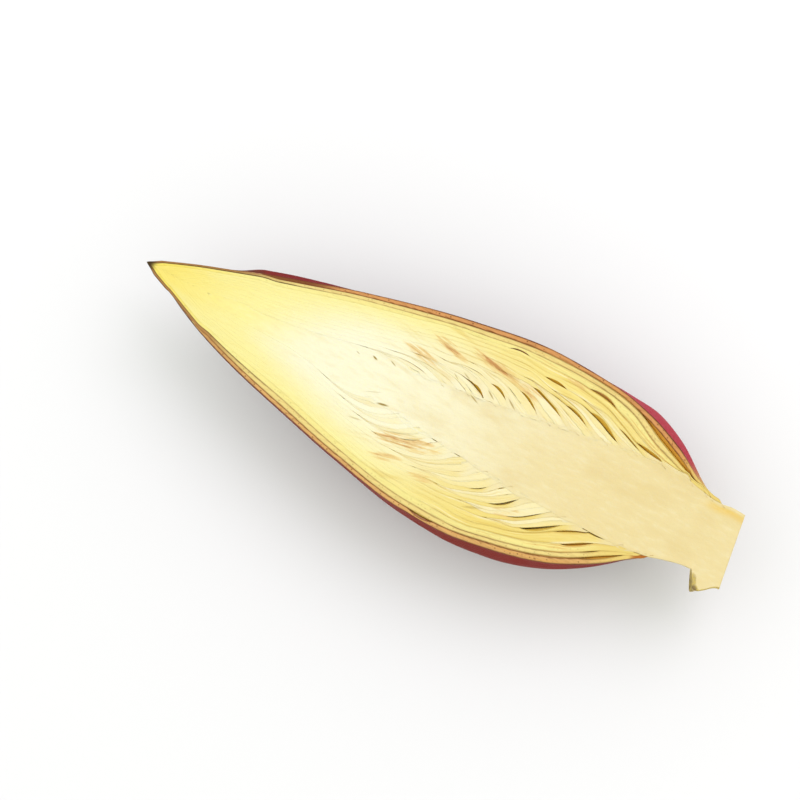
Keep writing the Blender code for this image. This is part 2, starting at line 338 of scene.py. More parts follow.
def slit(layer, row, angle, shift=0):
    """Width of the lens-shaped slits between the layers, mostly near their roots. A shift draws others."""
    plus_side = np.cos(angle) > 0
    from_root = ROOTS[layer] - row
    wave = ripple(from_root / 8, (layer + shift) * 3.7 + 11 * plus_side, 77)
    clear_of_root = 9.0 if layer < OUTER_COUNT else 1.0
    near_root = smooth((from_root - clear_of_root) / 4) * smooth((28 - from_root) / 18)
    width = np.where(plus_side, 0.7, 0.55) * smooth((row - 90) / 70)
    width = width * near_root * smooth((wave - 0.12) / 0.6)
    for main_layer, side, centre, half_length, main_width in MAIN_SLITS:
        if main_layer == layer and not shift:
            lens = main_width * np.maximum(1 - ((from_root - centre) / half_length) ** 2, 0)
            width = np.where(plus_side == (side > 0), np.maximum(width, lens), width)
    return width


def long_gap(row, angle):
    """Width of the long gap under the first bract, near the stem at the +Y rim."""
    beside_rim = 1 - smooth((angle - 0.1) / 0.5)
    return 1.5 * smooth((row - 200) / 16) * smooth((238 - row) / 12) * beside_rim


def bruise(distance, offset):
    """How bruised the cut flesh is, from 0 to 1."""
    amount = 0.0
    for centre, place_across, half_length, half_width, strength in BRUISES:
        ahead = distance - centre
        beside = offset - place_across + 0.2 * np.sign(place_across) * ahead
        spread = (ahead / half_length) ** 2 + (beside / half_width) ** 2
        amount = np.maximum(amount, strength * np.exp(-spread))
    return amount


def flap(row, angle):
    """How far the first bract stands off beyond the +Y rim near its tip."""
    beside_rim = smooth(angle / math.radians(7)) * smooth((math.radians(70) - angle) / 0.6)
    return 2.2 * smooth((row - 34) / 10) * smooth((96 - row) / 44) * beside_rim


def openness(layer, row, plus_side, shift=0):
    """How loose a layer's edge is: the layers are fused near the tip and partly in the middle."""
    patch = smooth(0.1 + 1.1 * ripple(row / 11, (layer + shift) * 2.3 + 13 * plus_side, 91))
    sure = 0.5 * smooth((row - 150) / 50)
    fused_root = 0.85 * smooth((row - ROOTS[layer] + 12) / 9)
    return smooth((row - 92) / 45) * (patch * (1 - sure) + sure) * (1 - fused_root)


def tip_taper(layer, row):
    """How far a layer's rounded tip has opened, from 0 to 1."""
    return np.sqrt(np.clip((row - first_row(layer)) / TIP_TAPER, 0, 1))


def heart_face(row, angle, free):
    """Radius of the growing tip and the core under all the bracts."""
    core = core_radius(along(row, angle))
    return (core + (free - core) * rise(HEART, row)) * tip_taper(HEART, row)


def layer_faces(row, angle, gap, slits=True):
    """Radii of the outer face and the inner face of every layer, on a grid of rows and angles."""
    gap = gap * (0.05 + 0.95 * smooth((row - 115) / 60))
    distance = along(row, angle)
    core = core_radius(distance)
    spaces = [spacing(n, row, angle) for n in range(HEART)]
    free = [envelope(distance, angle)]
    for space in spaces:
        free.append(free[-1] - space)
    outer, inner = {HEART: heart_face(row, angle, free[HEART])}, {}
    for n in reversed(range(HEART)):
        past_root = smooth((row - ROOTS[n]) / SUNK_ROWS)
        foot = core + ROOT_SWELL * (1 - past_root) - ROOT_SINK * past_root
        radius = foot + (free[n] - foot) * rise(n, row)
        beneath = outer[n + 1]
        if n == 0:
            there = covers(1, row, angle)
            beneath = beneath * there + outer[2] * (1 - there)
        ground = np.maximum(np.maximum(core, beneath) + gap, 0.01)
        thinnest = THINNEST_BRACT * covers(n, row, angle)
        if n < FIRM_LAYERS:
            firm = (row <= ROOTS[n]) & (row > FIRM_START)
            radius = np.where(firm, np.maximum(radius, ground + thinnest), radius)
        if n > 1:
            radius = radius * tip_taper(n, row)
        fleshy = 1 + FLESHY_ROOT * np.exp((row - ROOTS[n]) / FLESHY_LENGTH)
        holds_florets = n >= OUTER_COUNT + FIRST_HAND - 1
        packed = smooth((ROOTS[n] - row - PACKED_START) / PACKED_WIDTH) if holds_florets else 1.0
        wall = (spaces[n] - gap) * fleshy * (1 - packed) + (radius - ground) * packed
        opening = slit(n, row, angle) if n else long_gap(row, angle)
        opening = opening * (1 - smooth((radius * np.sin(angle) - 0.25) / 1.5)) * slits
        wall = np.maximum(wall - opening, 0.9 * thinnest)
        over_tip = 1 - smooth((row - first_row(n + 1) - TIP_TAPER) / 3)
        under = np.maximum(radius - wall, ground) * (1 - over_tip) + ground * over_tip
        outer[n] = radius + flap(row, angle) if n == 0 else radius
        inner[n] = np.minimum(under, radius * (1 - 0.1 * over_tip) - 0.3 * thinnest * (1 - over_tip))
    return outer, inner


def sway(distance, angle, radius):
    """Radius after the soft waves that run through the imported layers, still in their order."""
    room = smooth((radius - core_radius(distance) + 1) / 7)
    room = room * smooth((envelope(distance, angle) - radius - 2) / 7)
    side = 20 * (np.cos(angle) > 0)
    slow = ripple(distance / 17 + radius / 30, radius / 16 + side, 5)
    quick = ripple(distance / 6.5 + radius / 12, radius / 7 + side, 9)
    return radius + room * smooth((distance - 95) / 45) * (1.5 * slow + 0.45 * quick)


@functools.lru_cache
def first_row(layer):
    """The row on which a layer's tip begins."""
    if layer < 2:
        return BRACT_TIPS[layer]
    rows = np.arange(TIP_START, 110.0, 0.2)[:, None]
    angles = np.linspace(0, HALF_TURN, 7)[None, :]
    depth = sum(spacing(n, rows, angles) for n in range(layer))
    free = (envelope(along(rows, angles), angles) - depth).min(axis=1)
    return float(rows[np.argmax(free > TIP_RADIUS), 0])


def turn_under(depth, radius, least_radius=0.05, most=0.6):
    """The angle that takes a point at the cut this far under it."""
    return np.arcsin(np.clip(depth / np.maximum(radius, least_radius), 0, most))


def cut_relief(layer, row, radius, cut_share, plus_side, loose):
    """How far the cut edge of a layer lies under the cut, in soft steps and a rounded band."""
    stem_half = smooth((row - 140) / 50)
    band = (2 * cut_share - 1) ** 2
    step = 0.5 + 0.5 * ripple(row / 21, layer * 1.7 + 9 * plus_side, 41)
    fine = 0.5 + 0.5 * ripple(row / 3.5, radius / 0.8, 43)
    return 0.02 + loose * ((0.08 + 0.22 * stem_half) * step**2 + 0.04 * fine + (0.1 + 0.16 * stem_half) * band)


# ---------------------------------------------------------------- mesh helpers


def put_attributes(mesh, attributes):
    """Stores named numbers or vectors on a mesh's points."""
    for name, values in attributes.items():
        is_vector = values.ndim > 1 and values.shape[-1] == 3
        attribute = mesh.attributes.new(name, "FLOAT_VECTOR" if is_vector else "FLOAT", "POINT")
        attribute.data.foreach_set("vector" if is_vector else "value", values.astype(np.float32).ravel())


def linked(name, data):
    """A new object with this data, in the scene."""
    obj = bpy.data.objects.new(name, data)
    bpy.context.scene.collection.objects.link(obj)
    return obj


def mesh_object(name, points, faces, attributes, material):
    """A smooth-shaded mesh with its attributes and its material, riding on its body."""
    mesh = bpy.data.meshes.new(name)
    mesh.from_pydata(points.reshape(-1, 3).tolist(), [], faces)
    put_attributes(mesh, attributes)
    mesh.materials.append(material)
    mesh.shade_smooth()
    obj = linked(name, mesh)
    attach(obj, "root")
    return obj


def ring_faces(rings, columns):
    """Quads between neighbouring closed rings of points."""
    i = np.arange(rings - 1)[:, None] * columns
    j = np.arange(columns)[None, :]
    k = (j + 1) % columns
    return np.stack([i + j, i + k, i + columns + k, i + columns + j], axis=-1).reshape(-1, 4).tolist()


def strip_cap(start, m, k, flip):
    """Faces that close the end of a C-shaped ring: m outer points, a ribbon of k, and the same again inside."""
    inner = [start + 2 * m + k - 1 - j for j in range(m)]
    faces = [[start + j + 1, start + j, inner[j], inner[j + 1]] for j in range(m - 1)]
    faces.append([start + m - 1 + i for i in range(k + 2)][::-1])
    low_ribbon = [start + 2 * m + k + i for i in range(k)]
    faces.append([start, *low_ribbon[::-1], inner[0]])
    return [face[::-1] for face in faces] if flip else faces


def shell(name, layer, shares, sizes, material):
    """One bract as a closed shell: its outer face, its cut edges or margins, and its inner face."""
    start, end = first_row(layer), ROOTS[layer] + SUNK_ROWS
    count = int((end - start) / ROW_STEP)
    row = (start + (end - start) * np.linspace(0, 1, count) ** 1.02)[:, None]
    shares = np.array(shares)[None, :]
    low, high = reach(layer, row)
    angle = low + (high - low) * shares
    distance = along(row, angle)
    outer, inner = (
        sway(distance, angle, faces[layer]) for faces in layer_faces(row, angle, sizes.layer_gap / MM)
    )
    loose = openness(layer, row, shares < 0.5)
    rounding = np.minimum(sizes.edge_rounding / MM * (0.02 + 0.98 * loose), 0.3 * (outer - inner))

    ribbons = []
    for column, base, is_cut, way in ((-1, high, high >= HALF_TURN, -1), (0, low, low <= 0, 1)):
        rounded, top, bottom = rounding[:, [column]], outer[:, [column]], inner[:, [column]]
        angle[:, [column]] += np.where(is_cut, way * turn_under(rounded, top), 0)
        cut_share = CUT_SHARES + TO_BORDER * (1 - loose[:, [column]])
        radius = top * (1 - cut_share) + bottom * cut_share - rounded * (1 - 2 * cut_share) * 0.8
        relief = cut_relief(layer, row, radius, cut_share, column == 0, loose[:, [column]])
        sink = 0.03 * smooth((row - ROOTS[layer] + 3) / 4)
        turn = turn_under(relief * smooth(radius / 3) + sink, radius)
        bulge = rounded / np.maximum(radius, 1.0) * np.sin(cut_share * HALF_TURN)
        theta = np.clip(base + way * np.where(is_cut, turn, -bulge), 0, HALF_TURN)
        ribbons.append(place(along(row, theta), theta, radius))
    outside, inside = (place(along(row, angle), angle, radius) for radius in (outer, inner))
    points = np.concatenate([outside, ribbons[0], inside[:, ::-1], ribbons[1][:, ::-1]], axis=1)

    total = points.shape[1]
    m, k = shares.size, CUT_SHARES.size
    faces = ring_faces(count, total)
    faces += strip_cap(0, m, k, flip=False)
    faces += strip_cap((count - 1) * total, m, k, flip=True)

    def looped(*values):
        """Values in the points' order: outer face, one cut edge, and the inner face and other edge turned."""
        values = [np.broadcast_to(v, (count, width)) for v, width in zip(values, (m, k, m, k))]
        return np.concatenate([*values[:2], values[2][:, ::-1], values[3][:, ::-1]], axis=1)

    every_row = np.broadcast_to(row, (count, total))
    every_angle = looped(angle, high, angle, low)
    margin = inside_margin(layer, row, angle)
    attributes = {
        "cut": looped(0.0, high >= HALF_TURN, 0.0, low <= 0),
        "across": looped(0.0, CUT_SHARES, 1.0, CUT_SHARES),
        "loose": looped(loose, loose[:, -1:], loose, loose[:, :1]),
        "margin": looped(margin, 0.0, margin, 0.0),
        "flow": np.stack([every_row, every_angle * 40, np.full_like(every_row, layer)], axis=-1),
        "bruise": bruise(points[..., 0] / MM + MIDDLE_DISTANCE, points[..., 1] / MM),
        "root": smooth((every_row - ROOTS[layer] + 9) / 8),
        "near_root": smooth((every_row - ROOTS[layer] + 22) / 16),
    }
    return mesh_object(name, points, faces, attributes, material)


# ---------------------------------------------------------------- material helpers


LIGHT_LEVEL = (1.6, 1.68, 1.47)
SCATTER_LENGTH = 0.0012
FLESH_SOFTNESS = 0.12
FLESH_RADIUS = (1.0, 0.72, 0.25)
SKIN_SOFTNESS = 0.05
SKIN_RADIUS = (1.0, 0.35, 0.25)


def rgb(red, green, blue):
    """A colour given as it is seen under the studio light, 0 to 255, in the renderer's own values."""
    seen = [c / 255 for c in (red, green, blue)]
    seen = [c / 12.92 if c <= 0.04045 else ((c + 0.055) / 1.055) ** 2.4 for c in seen]
    return tuple(c / level for c, level in zip(seen, LIGHT_LEVEL)) + (1.0,)


class Value:
    """A number, vector or colour that nodes work out, for use in sums like a plain number."""

    def __init__(self, nodes, socket):
        self.nodes, self.socket = nodes, socket

    def __add__(self, other):
        return self.nodes.math("ADD", self, other)

    def __sub__(self, other):
        return self.nodes.math("SUBTRACT", self, other)

    def __mul__(self, other):
        return self.nodes.math("MULTIPLY", self, other)

    def __truediv__(self, other):
        return self.nodes.math("DIVIDE", self, other)

    def __abs__(self):
        return self.nodes.math("ABSOLUTE", self)

    def ramp(self, low, high, start=0.0, end=1.0, kind="SMOOTHSTEP"):
        """A change from one value to another while this one crosses a range."""
        inputs = {"Value": self, "From Min": low, "From Max": high, "To Min": start, "To Max": end}
        return self.nodes.value("ShaderNodeMapRange", "Result", inputs, interpolation_type=kind)


class Nodes:
    """A short way to build a node tree."""

    def __init__(self, tree):
        self.tree = tree

    def put(self, socket, value):
        """Sets an input, or links another node's output to it."""
        if isinstance(value, Value):
            self.tree.links.new(value.socket, socket)
        else:
            socket.default_value = value

    def value(self, kind, output, inputs=(), **settings):
        """An output of a new node that has these settings and inputs."""
        node = self.tree.nodes.new(kind)
        for key, setting in settings.items():
            setattr(node, key, setting)
        for key, value in dict(inputs).items():
            self.put(node.inputs[key], value)
        return Value(self, node.outputs[output])

    def math(self, operation, a, b=None):
        """One sum with numbers or vectors. A vector is only ever multiplied by a number."""
        kind, second = "ShaderNodeMath", 1
        if a.socket.type == "VECTOR":
            kind = "ShaderNodeVectorMath"
            if operation == "MULTIPLY":
                operation, second = "SCALE", "Scale"
        return self.value(kind, 0, {0: a} if b is None else {0: a, second: b}, operation=operation)

    def vector(self, x, y, z):
        """Three numbers as one vector."""
        return self.value("ShaderNodeCombineXYZ", 0, {0: x, 1: y, 2: z})

    def axes(self, vector):
        """A vector's three numbers."""
        first = self.value("ShaderNodeSeparateXYZ", 0, {0: vector})
        return [Value(self, socket) for socket in first.socket.node.outputs]


class Material(Nodes):
    """A material's node tree, with the place of the point that it colours."""

    def __init__(self, name):
        self.material = bpy.data.materials.new(name)
        self.material.use_nodes = True
        super().__init__(self.material.node_tree)
        self.place = self.value("ShaderNodeTexCoord", "Object")
        self.x, self.y, self.z = self.axes(self.place)

    def attribute(self, name, output="Fac"):
        """A named attribute of the mesh."""
        return self.value("ShaderNodeAttribute", output, attribute_name=name)

    def scaled(self, vector, scale):
        """A vector stretched along its axes."""
        return self.value("ShaderNodeMapping", "Vector", {"Vector": vector, "Scale": scale})

    def noise(self, vector, scale, detail, roughness=0.5):
        """Soft random values round one half, as fine along each axis as the scale says."""
        if isinstance(scale, tuple):
            vector, scale = self.scaled(vector, scale), 1.0
        inputs = {"Vector": vector, "Scale": scale, "Detail": detail, "Roughness": roughness}
        return self.value("ShaderNodeTexNoise", "Fac", inputs)

    def over(self, colour, *coats):
        """A colour with others laid over it in turn, each as far as the number before it says."""
        for cover, coat in coats:
            colour = self.value("ShaderNodeMix", 2, {0: cover, 6: colour, 7: coat}, data_type="RGBA")
        return colour

    def bump(self, height, distance, strength, **normal):
        """A bumped normal, on top of another where one is given."""
        inputs = {"Height": height, "Distance": distance, "Strength": strength, **normal}
        return self.value("ShaderNodeBump", "Normal", inputs)

    def finish(
        self, colour, roughness, normal, softness=FLESH_SOFTNESS, radius=FLESH_RADIUS, coat=0.0, shine=0.5
    ):
        """The material, with its colour, roughness and normal, and what is the same all over."""
        inputs = {
            "Base Color": colour,
            "Roughness": roughness,
            "Normal": normal,
            "Subsurface Weight": softness,
            "Subsurface Radius": radius,
            "Subsurface Scale": SCATTER_LENGTH,
            "Coat Weight": coat,
            "Coat Roughness": 0.3,
            "Specular IOR Level": shine,
        }
        for name, value in inputs.items():
            self.put(self.tree.nodes["Principled BSDF"].inputs[name], value)
        return self.material


def flesh_colour(nodes, colours):
    """Cut flesh by its place: yellow at the tip and the rims, cream in the middle, beige at the stem."""
    wander = (nodes.noise(nodes.place, (14, 30, 30), 3.0) - 0.5) * 0.05
    x = nodes.x + wander
    y = abs(nodes.y) + wander * 0.4
    rim = (y / x.ramp(-0.13, 0.03, 0.01, 0.043)).ramp(0.3, 0.95)
    golden = nodes.noise(leaning(nodes), (30, 330, 120), 2.0)
    golden = golden.ramp(0.56, 0.72, 0.0, 0.45) * x.ramp(-0.045, -0.015)
    minus_side = nodes.y.ramp(-0.008, -0.024) * nodes.x.ramp(-0.01, 0.04)
    flesh = nodes.over(
        colours.tip_deep,
        (x.ramp(-0.122, -0.082), colours.tip_yellow),
        (x.ramp(-0.085, -0.045), colours.middle_cream),
        (x.ramp(-0.04, 0.085), colours.stem_beige),
        (rim, colours.rim_yellow),
        (golden, colours.edge_ochre),
        (minus_side * 0.5, colours.deep_yellow),
    )
    return flesh, x, y


def leaning(nodes):
    """The point's place, with lines that lean towards the core on the way to the stem made level."""
    return nodes.vector(nodes.x, abs(nodes.y) + nodes.x * 0.2, nodes.z)


def with_painted_slit_shade(nodes, colour, colours):
    """Short dark marks in the cut: painted shade of narrow slits between the youngest layers round the heart.
    """
    strongest = 0.0
    for distance, across, half_length, half_width, turn, strength in PAINTED_SLIT_SHADES:
        inputs = {
            "Vector": nodes.place,
            "Location": ((distance - MIDDLE_DISTANCE) * MM, across * MM, FACE_HEIGHT * MM),
            "Rotation": (0.0, 0.0, math.radians(turn)),
            "Scale": (half_length * MM, half_width * MM, 4 * MM),
        }
        near = nodes.value("ShaderNodeMapping", "Vector", inputs, vector_type="TEXTURE")
        away = nodes.value("ShaderNodeVectorMath", "Value", {0: near}, operation="LENGTH")
        strongest = nodes.math("MAXIMUM", away.ramp(1.1, 0.3, 0.0, strength), strongest)
    return nodes.over(colour, (strongest, colours.slit_shade_olive))


def gap_colour(nodes, colours):
    """The faces inside the gaps, with painted light on the -Y side: a lighter gold that lifts the shade there.
    """
    return nodes.over(colours.slit_olive, (nodes.y.ramp(-0.003, -0.013), colours.slit_painted_light_gold))


def stained(nodes, colour, colours):
    """Tan and brown stains, streaked along the layers, where air reached the bruised flesh."""
    bruised = nodes.attribute("bruise")
    lines = (nodes.noise(leaning(nodes), (60, 950, 300), 3.0, 0.6) - 0.5) * 1.6
    spots = nodes.noise(leaning(nodes), (110, 330, 260), 4.0, 0.65) - 0.5 + lines
    uneven = bruised + spots * bruised.ramp(0.02, 0.35, 0.0, 1.7)
    return nodes.over(
        colour,
        (uneven.ramp(0.1, 0.6, 0.0, 0.75), colours.stain_tan),
        (uneven.ramp(0.6, 1.1, 0.0, 0.85), colours.stain_brown),
    )


def streaks(nodes, lengthwise, crosswise, detail):
    """Fine streaks that run with the bracts."""
    return nodes.noise(nodes.attribute("flow", "Vector"), (lengthwise, crosswise, 1.0), detail, 0.6)


def bands(nodes, across, count, seed):
    """Long soft bands that run along a layer's cut edge."""
    row, _, layer = nodes.axes(nodes.attribute("flow", "Vector"))
    return nodes.noise(nodes.vector(row * 0.045, across * count, layer * 7.3 + seed), 1.0, 3.0, 0.55)


def core_colour(nodes, colours, x):
    """The pith's colour along the core."""
    return nodes.over(colours.middle_cream, (x.ramp(-0.04, 0.075), colours.stem_beige))


def inner_bract_material(colours):
    """Moist pale yellow flesh, deeper in colour where it faces a gap, with painted light in the gaps on the -Y
    side and painted shade of narrow slits round the heart.
    """
    nodes = Material("inner_bract_flesh")
    across = nodes.attribute("across")
    flesh, x, _ = flesh_colour(nodes, colours)
    edge = (abs(across - 0.5) * 2.0).ramp(0.5, 1.0, 0.0, 0.75) * nodes.attribute("loose")
    stripes = bands(nodes, across, 3.5, 1.0)
    fine = nodes.noise(nodes.place, (120, 700, 700), 4.0, 0.6)
    band = nodes.over(
        flesh,
        (0.65, colours.bract_yellow),
        (edge, colours.edge_ochre),
        (stripes.ramp(0.52, 0.72, 0.0, 0.6), colours.edge_ochre),
        (stripes.ramp(0.46, 0.3, 0.0, 0.7), colours.floret_cream),
    )
    colour = nodes.over(
        flesh,
        (x.ramp(-0.035, 0.045), band),
        (fine.ramp(0.4, 0.75, 0.0, 0.08), colours.slit_olive),
        (nodes.attribute("root").ramp(0.0, 1.0, 0.0, 0.8), core_colour(nodes, colours, x)),
    )
    colour = with_painted_slit_shade(nodes, stained(nodes, colour, colours), colours)
    in_gap = nodes.over(colour, (x.ramp(-0.06, -0.02), gap_colour(nodes, colours)))
    colour = nodes.over(in_gap, (nodes.attribute("cut"), colour))
    height = stripes * 2.0 + nodes.noise(nodes.place, 900.0, 3.0) + fine
    normal = nodes.bump(height, 0.00012, 0.7)
    return nodes.finish(colour, fine.ramp(0.3, 0.7, 0.36, 0.55), normal, coat=0.1)


def floret_material(colours):
    """Cream florets with stained ends."""
    nodes = Material("floret_flesh")
    share = nodes.attribute("share")
    flesh, x, _ = flesh_colour(nodes, colours)
    tone = nodes.attribute("tone").ramp(0.0, 1.0, 0.0, 0.5)
    stripes = bands(nodes, nodes.attribute("across"), 3.0, 4.0)
    grain = nodes.noise(nodes.place, (150, 520, 520), 4.0, 0.6)
    end = share.ramp(0.6, 0.95) * grain.ramp(0.38, 0.6)
    colour = nodes.over(
        flesh,
        (x.ramp(-0.05, 0.03, 0.2, 0.85), nodes.over(colours.floret_cream, (tone, colours.bract_yellow))),
        (stripes.ramp(0.52, 0.74, 0.0, 0.5), colours.edge_ochre),
        (grain.ramp(0.42, 0.75, 0.0, 0.15), colours.bract_yellow),
        (end * 0.35, colours.stain_tan),
        (share.ramp(0.22, 0.0, 0.0, 0.85), core_colour(nodes, colours, x)),
    )
    colour = with_painted_slit_shade(nodes, stained(nodes, colour, colours), colours)
    in_gap = nodes.over(gap_colour(nodes, colours), (0.5, colour))
    colour = nodes.over(in_gap, (nodes.attribute("cut"), colour))
    height = stripes * 1.6 + nodes.noise(nodes.place, 1100.0, 3.0) + grain
    normal = nodes.bump(height, 0.00014, 0.7)
    return nodes.finish(colour, grain.ramp(0.3, 0.7, 0.38, 0.55), normal, coat=0.1)


def core_material(colours):
    """Fibrous beige pith where it is cut, and the stem's pale skin."""
    nodes = Material("core_pith")
    flesh, x, y = flesh_colour(nodes, colours)
    fibres = nodes.noise(nodes.place, (160, 520, 520), 4.0, 0.55)
    clouds = nodes.noise(nodes.place, (50, 110, 110), 3.0)
    inside = x.ramp(-0.045, -0.01) * y.ramp(0.026, 0.012, 0.0, 0.85)
    pith = nodes.over(
        flesh,
        (inside, core_colour(nodes, colours, x)),
        (nodes.attribute("amber") * 0.8, colours.stem_amber),
        (fibres.ramp(0.45, 0.75, 0.0, 0.2), colours.pith_shade),
        (fibres.ramp(0.5, 0.3, 0.0, 0.16), colours.middle_cream),
        (clouds.ramp(0.45, 0.7, 0.0, 0.45) * x.ramp(-0.05, 0.02), colours.pith_shade),
    )
    scar, bark = nodes.attribute("scar"), streaks(nodes, 1.6, 0.9, 4.0)
    scarred = (scar + (bark - 0.5) * 0.9).ramp(0.3, 0.65)
    scar_colour = nodes.over(
        colours.scar_brown,
        (bark.ramp(0.38, 0.62, 0.4, 1.0), colours.scar_green),
        (scar.ramp(0.7, 1.0, 0.0, 0.85), colours.scar_brown),
    )
    skin = nodes.over(
        colours.stem_skin,
        (streaks(nodes, 0.2, 1.2, 3.0).ramp(0.35, 0.7), colours.bract_yellow),
        (scarred, scar_colour),
    )
    face = nodes.over(with_painted_slit_shade(nodes, pith, colours), (scarred * 0.9, scar_colour))
    colour = nodes.over(skin, (nodes.attribute("cut"), face))
    height = fibres * 0.9 + nodes.noise(nodes.place, 800.0, 3.0)
    normal = nodes.bump(height, 0.00018, 0.6)
    return nodes.finish(colour, clouds.ramp(0.3, 0.7, 0.42, 0.6), normal, coat=0.05, shine=0.3)


def cut_edge(nodes, colours, layer, across, toward_tip):
    """The cut edge of an outer bract: tan with brown lines, paler and fleshier further in, with painted shadow
    under the first bract's loose end.
    """
    x, y = nodes.x, nodes.y
    fleshy = (0.0, 0.2, 0.72, 0.95)[layer]
    line_strength = (0.95, 0.85, 0.5, 0.1)[layer]
    rind_strength = (0.85, 0.8, 0.6, 0.15)[layer]
    edge = nodes.over(colours.cut_tan, (fleshy, colours.rim_yellow))
    if layer == OUTER_COUNT - 1:
        tip = nodes.over(colours.tip_deep, (x.ramp(-0.122, -0.082), colours.tip_yellow))
        edge = nodes.over(edge, (x.ramp(-0.04, -0.09), tip))
    elif layer == OUTER_COUNT - 2:
        dry = nodes.over(colours.cut_tan, (y.ramp(-0.005, 0.008, 0.55, 0.75), colours.cut_brown))
        edge = nodes.over(edge, (x.ramp(-0.07, -0.1, 0.0, 0.85), dry))
    grain = nodes.noise(nodes.place, (220, 1500, 1500), 4.0, 0.6)
    line = across + (grain - 0.5) * 0.35
    edge = nodes.over(
        edge,
        (grain.ramp(0.38, 0.75, 0.0, 0.4 - 0.3 * fleshy), colours.cut_brown),
        (line.ramp(0.68, 0.92, 0.0, line_strength), colours.cut_brown),
    )
    if layer == OUTER_COUNT - 2:
        dark = line.ramp(0.55, 0.85) * x.ramp(-0.055, -0.08) * y.ramp(-0.01, 0.0, 0.5, 0.9)
        edge = nodes.over(edge, (dark, colours.tip_dark))
    rind = line.ramp(0.3 - 0.1 * layer / 3, 0.02, 0.0, rind_strength)
    stripes = bands(nodes, across, 4.0, 2.0).ramp(0.5, 0.68, 0.0, 0.7)
    vessels = {"Vector": nodes.scaled(nodes.place, (700, 700, 700)), "Scale": 1.0}
    dots = nodes.value("ShaderNodeTexVoronoi", "Distance", vessels).ramp(0.3, 0.16)
    dotted = dots * abs(across - 0.45).ramp(0.3, 0.12, 0.0, 0.75 - 0.6 * fleshy)
    edge = nodes.over(
        edge,
        (rind, colours.skin_shade if layer < 2 else colours.cut_brown),
        (stripes * x.ramp(0.0, 0.05), colours.cut_orange),
        (dotted, colours.dot_brown),
        (toward_tip.ramp(-0.06, -0.125, 0.0, 0.5 - 0.5 * fleshy), colours.cut_brown),
    )
    if layer < 2:
        # Painted shadow: the cut edges under the first bract's loose end are darkened to brown.
        shadow_under_flap = x.ramp(-0.053, -0.068) * y.ramp(0.0, 0.006, 0.0, 0.85)
        edge = nodes.over(edge, (shadow_under_flap, colours.flap_shadow_brown))
    edge = nodes.over(edge, (nodes.attribute("near_root") * 0.9, colours.bract_base))
    if layer == 1:
        corner = nodes.attribute("root").ramp(0.55, 1.0) * y.ramp(-0.01, -0.014)
        edge = nodes.over(edge, (corner, colours.corner_brown))
    return edge


def outer_bract_material(colours, layer):
    """Waxy red-purple skin with lengthwise ribs and painted light near the stem, a paler inside, and a tan cut
    edge with brown lines.
    """
    nodes = Material(f"outer_bract_{layer + 1}_skin")
    x, y, high = nodes.x, nodes.y, nodes.z
    across = nodes.attribute("across")
    ribs = streaks(nodes, 0.02, 1.3, 4.0)
    fine = streaks(nodes, 0.035, 4.5, 3.0)
    clouds = nodes.noise(nodes.place, (22, 45, 45), 3.0, 0.55)
    bloom = nodes.noise(nodes.place, (60, 140, 140), 4.0, 0.65)
    # Near the stem the skin turns a lighter magenta. Part of it is its own fresher colour, and part is painted
    # light on the +Y side and higher up, where the steep skin gets less lamp light.
    fresh_and_painted_light = x.ramp(0.02, 0.065) * y.ramp(0.0, 0.03, 0.1, 1.0) * high.ramp(0.008, 0.036, 0.15, 0.75)
    loose_end = x.ramp(-0.045, -0.065) * y.ramp(0.0, 0.006) * high.ramp(0.028, 0.04, 0.1, 0.8)
    toward_tip = x + (ribs - 0.5) * 0.05
    toward_stem = x + (ribs - 0.5) * 0.018 - y.ramp(-0.01, 0.015, 0.0, 0.008)
    skin = nodes.over(
        colours.skin_shade,
        (clouds.ramp(0.35, 0.65), colours.skin_red),
        (ribs.ramp(0.42, 0.72, 0.0, 0.55), colours.skin_light),
        (fine.ramp(0.5, 0.8, 0.0, 0.5), colours.skin_shade),
        (bloom.ramp(0.5, 0.85, 0.0, 0.22), colours.skin_bloom),
        (y.ramp(-0.012, -0.034, 0.0, 0.75), colours.skin_brown),
        (fresh_and_painted_light, colours.fresh_skin_and_painted_light),
        (loose_end, colours.flap_red),
        (toward_tip.ramp(-0.075, -0.128, 0.0, 0.8), colours.tip_olive),
        (toward_stem.ramp(0.09, 0.106), colours.bract_base),
        (nodes.attribute("margin").ramp(2.2, 0.0, 0.0, 0.7), colours.margin_brown),
    )
    if layer == 1:
        skin = nodes.over(skin, (x.ramp(0.04, 0.07) * y.ramp(0.0, 0.012), colours.gap_orange))
    elif layer:
        skin = nodes.over(skin, (x.ramp(-0.05, -0.02), gap_colour(nodes, colours)))
    inside = nodes.over(
        colours.inside_pink,
        (ribs.ramp(0.4, 0.7), colours.rim_yellow),
        (x.ramp(0.04, 0.07), colours.gap_orange),
    )
    colour = nodes.over(
        skin,
        (across.ramp(0.4, 0.6), inside),
        (nodes.attribute("cut"), cut_edge(nodes, colours, layer, across, toward_tip)),
        (x.ramp(-0.1255, -0.129), colours.tip_dark),
    )
    normal = nodes.bump(ribs + fine * 0.35, 0.00035, 0.7)
    normal = nodes.bump(nodes.noise(nodes.place, 1500.0, 3.0), 0.00006, 0.5, Normal=normal)
    roughness = bloom.ramp(0.35, 0.75, 0.46, 0.64)
    return nodes.finish(colour, roughness, normal, SKIN_SOFTNESS, SKIN_RADIUS, shine=0.1)


# ---------------------------------------------------------------- settings


def length(name, description, default):
    """A length property, given in millimetres and kept in metres."""
    return bpy.props.FloatProperty(
        name=name, description=description, default=default * MM, min=0.0, unit="LENGTH", precision=5
    )


def colour(name, description, *seen):
    """A colour property, given as it is seen."""
    return bpy.props.FloatVectorProperty(
        name=name, description=description, default=rgb(*seen), size=4, min=0.0, max=1.0, subtype="COLOR"
    )


